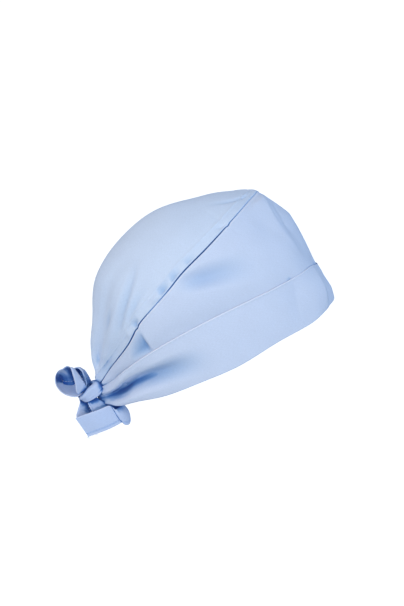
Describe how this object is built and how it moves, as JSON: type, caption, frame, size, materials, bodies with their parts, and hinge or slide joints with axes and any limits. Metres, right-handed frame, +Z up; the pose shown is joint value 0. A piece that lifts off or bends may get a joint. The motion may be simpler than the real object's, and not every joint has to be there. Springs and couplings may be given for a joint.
{
  "type": "surgical cap",
  "caption": "Tie-back surgical cap of woven cloth: domed crown panel, wrapped side panel and a turned-up cuff, tied in a bow at the back.",
  "frame": {"origin": "middle of the head opening, half way between its front edge and the knot, where the head holds the cap", "axes": "+X to the forehead, +Y to the wearer's left, +Z up"},
  "size_m": [0.2634, 0.1639, 0.2211],
  "materials": {
    "cap_cloth": "plain-woven cotton blend, pale blue, matt",
    "cuff_cloth": "the same cloth doubled, pale blue, matt",
    "tie_cloth": "folded tape of the same cloth, pale blue, matt"
  },
  "bodies": {
    "root": {"crown_panel": "cap_cloth", "side_panel": "cap_cloth", "cuff": "cuff_cloth", "tie_knot": "tie_cloth", "loop_right": "tie_cloth", "loop_left": "tie_cloth", "tail_right": "tie_cloth", "tail_left": "tie_cloth"}
  },
  "joints": []
}
